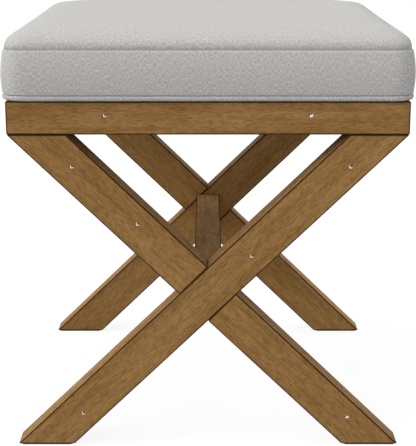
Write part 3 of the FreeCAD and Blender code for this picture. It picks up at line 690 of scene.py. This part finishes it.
def cloth(name, turn=0.0, ribbed=0.0):
    """Linen-look weave on the piece's own UV map, which is in metres."""
    finish = Finish(name)
    flat = finish.add("ShaderNodeUVMap", {"uv_map": "cloth"})
    lie = finish.mapped(flat, rotation=(0, 0, turn))
    spot = finish.spot()
    upright = finish.noise(finish.mapped(lie, (1250, 330, 1)), detail=3, roughness=0.65)
    level_threads = finish.noise(finish.mapped(lie, (330, 1250, 1)), detail=3, roughness=0.65)
    patches = finish.noise(finish.mapped(spot, (120, 120, 120)), detail=4, roughness=0.65)
    warp = (finish.part(lie, 0) * (2 * math.pi / THREAD)).math("SINE")
    weft = (finish.part(lie, 1) * (2 * math.pi / THREAD)).math("SINE")
    weave = warp * weft

    pale = colour(221, 219, 216)
    shade = colour(176, 174, 171)
    slub = finish.step(upright * 0.65 + level_threads * 0.35, 0.42, 0.58)
    base = finish.mix(slub, shade, pale)
    base = finish.mix(finish.step(patches, 0.35, 0.7) * 0.2, base, colour(186, 184, 181))
    ribs = (finish.part(flat, 0) * (2 * math.pi / RIB)).math("SINE")
    base = finish.mix(finish.step(ribs, 0.1, 0.9) * (0.3 * ribbed), base, colour(150, 148, 144))
    # Painted shade: a band from just below the seam to 4 mm above it is darkened, as shade in the
    # groove.
    above_seam = finish.part(spot, 2) - SEAM
    painted_seam_shade = finish.step(above_seam, -1.2 * MM, -0.3 * MM)
    painted_seam_shade = painted_seam_shade * finish.step(above_seam, 0, 4 * MM, 1.0, 0.0)
    base = finish.mix(painted_seam_shade * 0.5, base, colour(146, 144, 140))
    relief = upright * 0.5 + level_threads * 0.5 + weave * 0.25 + ribs * (0.4 * ribbed)
    return finish.set(
        Base_Color=base,
        Roughness=0.92,
        Sheen_Weight=0.15,
        Sheen_Roughness=0.5,
        Specular_IOR_Level=0.2,
        Normal=finish.bump(relief, 0.5, 0.0005),
    )


panel_cloth = cloth("panel_cloth")
boxing_cloth = cloth("boxing_cloth")
piping_cloth = cloth("piping_cloth", turn=math.pi / 4, ribbed=1.0)
print("cloth with threads", round(THREAD / MM, 2), "mm apart")

# %% [markdown]
# ## Top panel and boxing
# The padded mesh is cut at the seam into its two real pieces. Near the seam it gets finer rows, and
# both cloths turn in towards the stitches: the panel over a soft roll, the boxing more sharply. Small
# puckers, from smooth noise along the edge, deepen and ease the groove. The boxing's lower edge is
# carried over the piping and down behind it, because cloth that stopped above it would leave a gap.

# %% Sew the seam
SEAM_DEPTH = 1.1 * MM
PANEL_ROLL = 3.4 * MM
BOXING_ROLL = 1.3 * MM
LIP = 0.12 * MM
LIP_DROP = 3.2 * MM
LIP_WIDTH = 1.6 * MM
WANDER = 0.35 * MM
WANDER_REACH = 9 * MM
ROWS = (-6, -4.2, -2.8, -1.6, -0.8, 0.8, 1.6, 2.6, 3.8, 5.2, 7)


def edge_noise(run, rate, row):
    """Smooth noise along the edge, finer as the rate grows. Each row of it is different."""
    return noise.noise(Vector((run * rate, row, 0)))


def sewn(x, y, z):
    """Where a point of the cover goes once the seam is pulled tight."""
    run = along_edge(x, y)
    above = z - SEAM
    pucker = 1 + 0.45 * edge_noise(run, 85, 3.1) + 0.25 * edge_noise(run, 210, 7.7)
    roll = PANEL_ROLL if above >= 0 else BOXING_ROLL
    inward = SEAM_DEPTH * pucker * math.exp(-(above / roll) ** 2)
    if above < 0:
        inward -= LIP * math.exp(-((above + LIP_DROP) / LIP_WIDTH) ** 2)
    wander = WANDER * edge_noise(run, 24, 1.3) * math.exp(-(above / WANDER_REACH) ** 2)
    return Vector((x, y, z + wander)) - outward(x, y) * inward


def cut_level(mesh, height, **cleared):
    """Cut a mesh at a height, and clear what is below or above where that is asked."""
    bmesh.ops.bisect_plane(mesh, geom=mesh.verts[:] + mesh.edges[:] + mesh.faces[:], dist=1e-7,
                           plane_co=(0, 0, height), plane_no=(0, 0, 1), **cleared)


def cut_piece(keep_top):
    """One side of the seam from the padded cover, as a bmesh."""
    mesh = bmesh.new()
    mesh.from_mesh(cover.data)
    for row in ROWS:
        if (row > 0) == keep_top:
            cut_level(mesh, SEAM + row * MM)
    cut_level(mesh, SEAM, clear_inner=keep_top, clear_outer=not keep_top)
    return mesh


def solid_cloth(piece, thickness, offset=-1):
    """Give a sheet of cloth its thickness, inwards unless the offset is 1."""
    modifier = piece.modifiers.new("cloth_thickness", "SOLIDIFY")
    modifier.thickness = thickness
    modifier.offset = offset
    modifier.use_even_offset = False


# %% Top panel
SPREAD_PER_DROP = 0.6


def panel_place(point):
    """Across the panel, spread outwards where the crown turns down."""
    spread = outward(point.x, point.y) * max(0.0, outer_levels[-1].height - point.z) * SPREAD_PER_DROP
    return point.x + spread.x, point.y + spread.y


def make_top_panel():
    mesh = cut_piece(keep_top=True)
    for vertex in mesh.verts:
        vertex.co = sewn(*vertex.co)
    unroll(mesh, panel_place)
    panel = add_piece("seat_top_panel_cloth", mesh, panel_cloth, ["seat_top_panel"])
    solid_cloth(panel, CLOTH)


make_top_panel()

# %% Boxing
PIPE_RADIUS = (PIPING_HIGH.z - PIPING_LOW.z) / 2
PIPE_HEIGHT = (PIPING_HIGH.z + PIPING_LOW.z) / 2
PIPE_HALF_X = PIPING_HIGH.x - PIPE_RADIUS
PIPE_HALF_Y = PIPING_HIGH.y - PIPE_RADIUS
PIPE_CORNER = PLAN_CORNER + PIPE_HALF_X - HALF_X
TURN_IN = [math.radians(angle) for angle in (90, 115, 140, 165)]
TURN_IN_RADIUS = PIPE_RADIUS + 0.1 * MM
LOWER_EDGE_BAND = 1 * MM


def turn_in(mesh):
    """Carry the band's lower edge over the piping and down behind it."""
    edge = [item for item in mesh.edges if item.is_boundary
            and max(vertex.co.z for vertex in item.verts) < BOXING_BOTTOM + LOWER_EDGE_BAND]
    for angle in TURN_IN:
        made = bmesh.ops.extrude_edge_only(mesh, edges=edge)["geom"]
        edge = of_kind(made, bmesh.types.BMEdge)
        corner = PIPE_CORNER + TURN_IN_RADIUS * math.cos(angle)
        height = PIPE_HEIGHT + TURN_IN_RADIUS * math.sin(angle)
        for vertex in of_kind(made, bmesh.types.BMVert):
            inner = nearest_inner(vertex.co.x, vertex.co.y)
            out = outward(vertex.co.x, vertex.co.y) * corner
            vertex.co = (inner.x + out.x, inner.y + out.y, height)


def make_boxing():
    """The side band, its lower edge turned in over the piping."""
    mesh = cut_piece(keep_top=False)
    cut_level(mesh, BOXING_BOTTOM, clear_inner=True)
    for vertex in mesh.verts:
        vertex.co = sewn(*vertex.co)
    turn_in(mesh)
    unroll(mesh, lambda point: (along_edge(point.x, point.y), point.z))
    band = add_piece("seat_boxing_cloth", mesh, boxing_cloth, ["seat_boxing"])
    solid_cloth(band, CLOTH)


make_boxing()
bpy.data.objects.remove(cover)

# %% [markdown]
# ## Piping
# The welt is a strip of the same cloth, cut on the bias and wrapped round a cotton cord. It is a ring
# of points carried round the edge: spun at each corner and run straight between corners. Its surface
# swells and sinks a little along the run, as cloth does over a cord.

# %% Piping
SWELL_LONG = (0.16 * MM, 60, 5.5)
SWELL_SHORT = (0.10 * MM, 260, 9.5)
SWELL_UPRIGHT = 0.6


def tube_round_edge(radius, sides, straight_step, corner_steps):
    """A tube along the rounded rectangle of the welt."""
    mesh = bmesh.new()
    bmesh.ops.create_circle(mesh, segments=sides, radius=radius)
    stand = Matrix.Translation((0, -PIPE_HALF_Y, PIPE_HEIGHT)) @ Matrix.Rotation(math.pi / 2, 4, "Y")
    bmesh.ops.transform(mesh, matrix=stand, verts=mesh.verts[:])
    ring = mesh.edges[:]
    inner_x = PIPE_HALF_X - PIPE_CORNER
    inner_y = PIPE_HALF_Y - PIPE_CORNER
    runs = ((inner_x, (1, 0)), (2 * inner_y, (0, 1)), (2 * inner_x, (-1, 0)), (2 * inner_y, (0, -1)),
            (inner_x, (1, 0)))
    corners = ((inner_x, -inner_y), (inner_x, inner_y), (-inner_x, inner_y), (-inner_x, -inner_y))
    for index, (length, (side_x, side_y)) in enumerate(runs):
        steps = max(1, round(length / straight_step))
        move = Vector((side_x, side_y, 0)) * length / steps
        for _ in range(steps):
            made = bmesh.ops.extrude_edge_only(mesh, edges=ring)["geom"]
            ring = of_kind(made, bmesh.types.BMEdge)
            bmesh.ops.translate(mesh, vec=move, verts=of_kind(made, bmesh.types.BMVert))
        if index < len(corners):
            made = bmesh.ops.spin(mesh, geom=ring, cent=(*corners[index], 0), axis=(0, 0, 1),
                                  dvec=(0, 0, 0), angle=math.pi / 2, steps=corner_steps,
                                  use_merge=False, use_normal_flip=False, use_duplicate=False)
            ring = of_kind(made["geom_last"], bmesh.types.BMEdge)
    bmesh.ops.remove_doubles(mesh, verts=mesh.verts[:], dist=1e-5)
    bmesh.ops.recalc_face_normals(mesh, faces=mesh.faces[:])
    return mesh


def pipe_place(point):
    """Along the welt, and round it."""
    inner = nearest_inner(point.x, point.y)
    offset = Vector((point.x, point.y)) - inner
    reach = offset.length - (PIPE_HALF_X - (EDGE.half_x - EDGE.corner))
    angle = math.atan2(point.z - PIPE_HEIGHT, reach)
    return along_edge(point.x, point.y), angle * PIPE_RADIUS


def make_piping():
    mesh = tube_round_edge(PIPE_RADIUS, sides=16, straight_step=4 * MM, corner_steps=12)
    for vertex in mesh.verts:
        run = along_edge(vertex.co.x, vertex.co.y)
        swell = sum(size * edge_noise(run, rate, row) for size, rate, row in (SWELL_LONG, SWELL_SHORT))
        vertex.co.z += swell * math.copysign(SWELL_UPRIGHT, vertex.co.z - PIPE_HEIGHT)
        vertex.co += outward(vertex.co.x, vertex.co.y) * min(0.0, swell)
    unroll(mesh, pipe_place)
    add_piece("seat_piping_cloth", mesh, piping_cloth, ["seat_piping"])


make_piping()

# %% [markdown]
# ## What fills the cushion
# Foam and wadding don't show, but the piece can be opened, so each has its own form, drawn in from the
# cover by the thickness of what lies over it.

# %% Filling
WADDING = 2 * MM
GROOVE_ROOM = 3.2 * MM
WADDING_HEM = 8 * MM
CORD_RADIUS = 2 * MM


def fibre(name, pale, shade, scale, depth):
    """Foam cells, or matted or twisted fibres, by the scale of their noise."""
    finish = Finish(name)
    cells = finish.noise(finish.mapped(finish.spot(), (scale, scale, scale)), detail=4, roughness=0.7)
    return finish.set(Base_Color=finish.mix(finish.step(cells, 0.35, 0.65), shade, pale),
                      Roughness=0.95, Sheen_Weight=0.2, Normal=finish.bump(cells, 0.6, depth))


def inner_form(bottom, inset):
    """The cushion's form drawn in by an inset, with fewer rings."""
    levels = side_levels(bottom, inset, rings=4) + crown_levels(inset, rings=(4, 3, 2))
    return raise_form(levels, corner_segments=6)


def make_wadding(inset):
    """A wrap that is open underneath."""
    wrap = inner_form(BOARD_LOW.z + WADDING_HEM, inset)
    lowest = min(wrap.faces, key=lambda face: face.calc_center_median().z)
    bmesh.ops.delete(wrap, geom=[lowest], context="FACES_ONLY")
    finish = fibre("seat_wadding_fibre", colour(246, 246, 243), colour(226, 226, 222), 500, 0.001)
    wrap_piece = add_piece("seat_wadding_wrap", wrap, finish, ["seat_wadding"], smooth=False)
    solid_cloth(wrap_piece, WADDING)


def make_foam(inset):
    foam = inner_form(BOARD_HIGH.z + SLACK, inset)
    finish = fibre("seat_foam_cells", colour(240, 232, 206), colour(214, 202, 168), 900, 0.0005)
    foam_piece = add_piece("seat_foam_core", foam, finish, ["seat_foam"], smooth=False)


def make_cord():
    cord = tube_round_edge(CORD_RADIUS, sides=10, straight_step=12 * MM, corner_steps=6)
    finish = fibre("cotton_cord", colour(236, 230, 214), colour(206, 198, 178), 1400, 0.0004)
    add_piece("piping_cord_cotton", cord, finish, ["piping_cord"])


make_foam(CLOTH + GROOVE_ROOM + WADDING + SLACK)
make_wadding(CLOTH + GROOVE_ROOM)
make_cord()

# %% [markdown]
# ## Dust cover
# A sheet of black non-woven cloth closes the seat from below. It is stapled tight, so it has only the
# faint ripples that show between staples.

# %% Dust cover
DUST_CLOTH = 0.3 * MM
DUST_SEGMENTS = 48
DUST_RIPPLE = 0.3 * MM
DUST_LIFT = 0.1 * MM
DUST_WAVES = 22
HEM_SHARE = 1 / 6


def non_woven():
    """Black felted fibres with the small round bonds of a non-woven cloth."""
    finish = Finish("non_woven_black")
    spot = finish.spot()
    felted = finish.noise(finish.mapped(spot, (1600, 1600, 1600)), detail=3, roughness=0.7)
    dots = finish.add("ShaderNodeTexVoronoi", {}, {"Vector": spot, "Scale": 700.0})
    tone = finish.mix(finish.step(felted, 0.35, 0.7), colour(22, 22, 23), colour(44, 44, 46))
    return finish.set(Base_Color=tone, Roughness=0.85,
                      Normal=finish.bump(finish.step(dots, 0.1, 0.5), 0.4, 0.0002))


def make_dust_cover():
    low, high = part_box("dust_cover")
    mesh = bmesh.new()
    bmesh.ops.create_grid(mesh, x_segments=DUST_SEGMENTS, y_segments=DUST_SEGMENTS, size=1)
    for vertex in mesh.verts:
        from_edge = 1 - max(abs(vertex.co.x), abs(vertex.co.y))
        spot = Vector((vertex.co.x * high.x, vertex.co.y * high.y, 0))
        ripple = 1 + noise.noise(spot * DUST_WAVES)
        ripple *= DUST_RIPPLE * min(1.0, from_edge / HEM_SHARE)
        vertex.co = (spot.x, spot.y, low.z + DUST_LIFT + ripple)
    sheet = add_piece("dust_cover_cloth", mesh, non_woven(), ["dust_cover"])
    solid_cloth(sheet, DUST_CLOTH, offset=1)


make_dust_cover()

# %% [markdown]
# ## Pins
# Each X frame is held by steel pins driven from its outer face and sunk a little. Stained filler
# covers each pin except a crescent of bright bare steel on its lower side, shaped and placed as a
# painted highlight, and a painted shadow darkens its upper side. A bar with a domed end is
# spun for each pin of the frame, turned to face outwards and joined to the others, with a UV map of
# its own face. In the photograph the pins near the right corners shine on their other side.

# %% Pin finish
# Where the crescent of the painted highlight sits on each pin's face.
CRESCENT_CENTRE = (0.36, 0.38)
CRESCENT_INNER = (0.76, 0.84)
CRESCENT_OUTER = (1.0, 1.05)


def pin_finish():
    """Bare steel in a crescent placed as a painted highlight, stained filler with a painted shadow over
    the rest.
    """
    finish = Finish("stained_pin_painted_glint")
    face = finish.add("ShaderNodeUVMap", {"uv_map": "face"})
    across = finish.part(face, 0)
    up = finish.part(face, 1)
    off_x = across - CRESCENT_CENTRE[0]
    off_y = up - CRESCENT_CENTRE[1]
    reach = (off_x * off_x + off_y * off_y).math("SQRT")
    rim = (across * across + up * up).math("SQRT")
    glint_crescent = finish.step(reach, *CRESCENT_INNER) * finish.step(rim, *CRESCENT_OUTER, 1.0, 0.0)
    # Painted shadow on the upper side of the pin's face, as in a shallow recess.
    shadow = finish.step(across + up, 0.5, 1.2)
    smear = finish.noise(finish.mapped(finish.spot(), (1500, 1500, 1500)))
    filler = finish.mix(finish.step(smear, 0.4, 0.65), colour(150, 110, 62), colour(120, 84, 44))
    filler = finish.mix(shadow * 0.6, filler, colour(84, 54, 28))
    bright_steel = (1, 1, 0.99, 1)
    return finish.set(
        Base_Color=finish.mix(glint_crescent, filler, bright_steel),
        Metallic=glint_crescent,
        Roughness=finish.step(glint_crescent, 0, 1, 0.6, 0.3),
    )


# %% Pins
PIN_RADIUS = 2.3 * MM
PIN_SIDES = 20
SAME_PIN = 4 * MM
RIGHT_CORNERS = 90 * MM
LOW_CORNERS = 100 * MM


def places_of(name):
    """Middle of the outer face, side and length of each pin in a node."""
    groups = []
    for vertex in nodes[name].data.vertices:
        for points in groups:
            aside = math.hypot(points[0].x - vertex.co.x, points[0].z - vertex.co.z)
            if aside < SAME_PIN and points[0].y * vertex.co.y > 0:
                break
        else:
            points = []
            groups.append(points)
        points.append(vertex.co.copy())
    places = []
    for points in groups:
        low, high = box_of(points)
        side = math.copysign(1, points[0].y)
        outer = low.y if side < 0 else high.y
        middle = Vector(((low.x + high.x) / 2, outer, (low.z + high.z) / 2))
        places.append((middle, side, high.y - low.y))
    return places


def pin_shape(length):
    """A plain bar with a slightly domed end, its outer face at the origin and its length along z."""
    mesh = bmesh.new()
    outline = [(0.0, -0.25 * MM), (0.55 * PIN_RADIUS, -0.2 * MM), (0.85 * PIN_RADIUS, 0.0),
               (PIN_RADIUS, -0.3 * MM), (PIN_RADIUS, -length), (0.0, -length)]
    points = [mesh.verts.new((across, 0, up)) for across, up in outline]
    edges = [mesh.edges.new(pair) for pair in zip(points, points[1:])]
    bmesh.ops.spin(mesh, geom=points + edges, cent=(0, 0, 0), axis=(0, 0, 1), dvec=(0, 0, 0),
                   angle=2 * math.pi, steps=PIN_SIDES, use_merge=True, use_normal_flip=False,
                   use_duplicate=False)
    bmesh.ops.remove_doubles(mesh, verts=mesh.verts[:], dist=1e-6)
    bmesh.ops.recalc_face_normals(mesh, faces=mesh.faces[:])
    return mesh


def make_pins(name, material):
    whole = bmesh.new()
    layer = whole.loops.layers.uv.new("face")
    for middle, side, length in places_of(name):
        one = pin_shape(length)
        turn = Matrix.Rotation(-side * math.pi / 2, 4, "X")
        bmesh.ops.transform(one, matrix=Matrix.Translation(middle) @ turn, verts=one.verts[:])
        data = bpy.data.meshes.new("pin")
        one.to_mesh(data)
        one.free()
        before = len(whole.faces)
        whole.from_mesh(data)
        bpy.data.meshes.remove(data)
        whole.faces.ensure_lookup_table()
        # Pins on the front face near the right corners have their painted highlight turned to the other
        # side.
        at_corner = middle.x > RIGHT_CORNERS and not LOW_CORNERS <= middle.z <= RAIL_UNDERSIDE
        flip = 1 if at_corner and side < 0 else -1
        for loop in [loop for face in whole.faces[before:] for loop in face.loops]:
            across = flip * side * (loop.vert.co.x - middle.x) / PIN_RADIUS
            loop[layer].uv = (across, (loop.vert.co.z - middle.z) / PIN_RADIUS)
    add_piece(f"{name}_stained", whole, material, [name])


pin_material = pin_finish()
for name in ("front_leg_pins", "back_leg_pins", "rail_pins"):
    make_pins(name, pin_material)

# %% [markdown]
# ## Studio
# The photograph is a plain product shot: white all round, light from above and a little from the left.
# A large white floor takes the soft shadow. Seen by the camera it is lifted to white by its own
# emission, which adds no light to the stool. The world is white in the same way: full white to the
# eye, and weaker as a light.

# %% Floor
FLOOR_HALF = 30
FLOOR_PLAIN = (0.5, 0.5, 0.5, 1)
FLOOR_FAINT = (0.17, 0.17, 0.17, 1)
FLOOR_GLOW = 0.885
WHITE = (1, 1, 1, 1)
SEEING_RAYS = ("Is Camera Ray", "Is Glossy Ray", "Is Transmission Ray")


def is_seen(tree):
    """1 for a ray that shows the surroundings: straight, mirrored or through something clear."""
    direct, mirrored, passed = [tree.add("ShaderNodeLightPath", output=ray) for ray in SEEING_RAYS]
    return direct.math("MAXIMUM", mirrored).math("MAXIMUM", passed)


def make_floor():
    mesh = bmesh.new()
    bmesh.ops.create_grid(mesh, x_segments=1, y_segments=1, size=FLOOR_HALF)
    data = bpy.data.meshes.new("floor")
    mesh.to_mesh(data)
    mesh.free()
    finish = Finish("white_floor")
    plain = finish.add("ShaderNodeBsdfDiffuse", {}, {"Color": FLOOR_PLAIN})
    faint = finish.add("ShaderNodeBsdfDiffuse", {}, {"Color": FLOOR_FAINT})
    glow = finish.add("ShaderNodeEmission", {}, {"Color": WHITE, "Strength": FLOOR_GLOW})
    seen = finish.add("ShaderNodeAddShader", {}, {0: faint, 1: glow})
    mixed = finish.add("ShaderNodeMixShader", {}, {0: is_seen(finish), 1: plain, 2: seen})
    finish.feed(finish.nodes["Material Output"].inputs["Surface"], mixed)
    finish.nodes.remove(finish.shader)
    data.materials.append(finish.material)
    floor = bpy.data.objects.new("floor", data)
    bpy.context.scene.collection.objects.link(floor)
    print("floor", 2 * FLOOR_HALF, "m wide")


make_floor()

# %% World and lamps
WORLD_LIGHT = 0.44
LAMPS = {
    "overhead": ((0.05, 0.0, 1.0), 0.29, 80),
    "left_softbox": ((-0.75, -0.2, 0.6), 0.4, 32),
    "front_left": ((-0.55, -0.65, 0.5), 0.14, 18),
}


def make_world():
    world = bpy.data.worlds.new("studio")
    bpy.context.scene.world = world
    tree = Tree(world)
    strength = tree.add("ShaderNodeMapRange", {}, {0: is_seen(tree), 3: WORLD_LIGHT, 4: 1.0})
    background = tree.nodes["Background"]
    tree.feed(background.inputs["Color"], WHITE)
    tree.feed(background.inputs["Strength"], strength)


def make_lamp(name, towards, share, angle):
    """A sun that lights a white wall facing it by a share of full white."""
    data = bpy.data.lights.new(name, "SUN")
    data.energy = share * math.pi
    data.angle = math.radians(angle)
    light = bpy.data.objects.new(name, data)
    light.rotation_mode = "QUATERNION"
    light.rotation_quaternion = Vector(towards).to_track_quat("Z", "Y")
    bpy.context.scene.collection.objects.link(light)


make_world()
for name, (towards, share, angle) in LAMPS.items():
    make_lamp(name, towards, share, angle)
print("a world of", WORLD_LIGHT, "and", len(LAMPS), "lamps")

# %% [markdown]
# ## Finish
# The view transform is plain.

# %% Close
bpy.context.scene.view_settings.view_transform = "Standard"
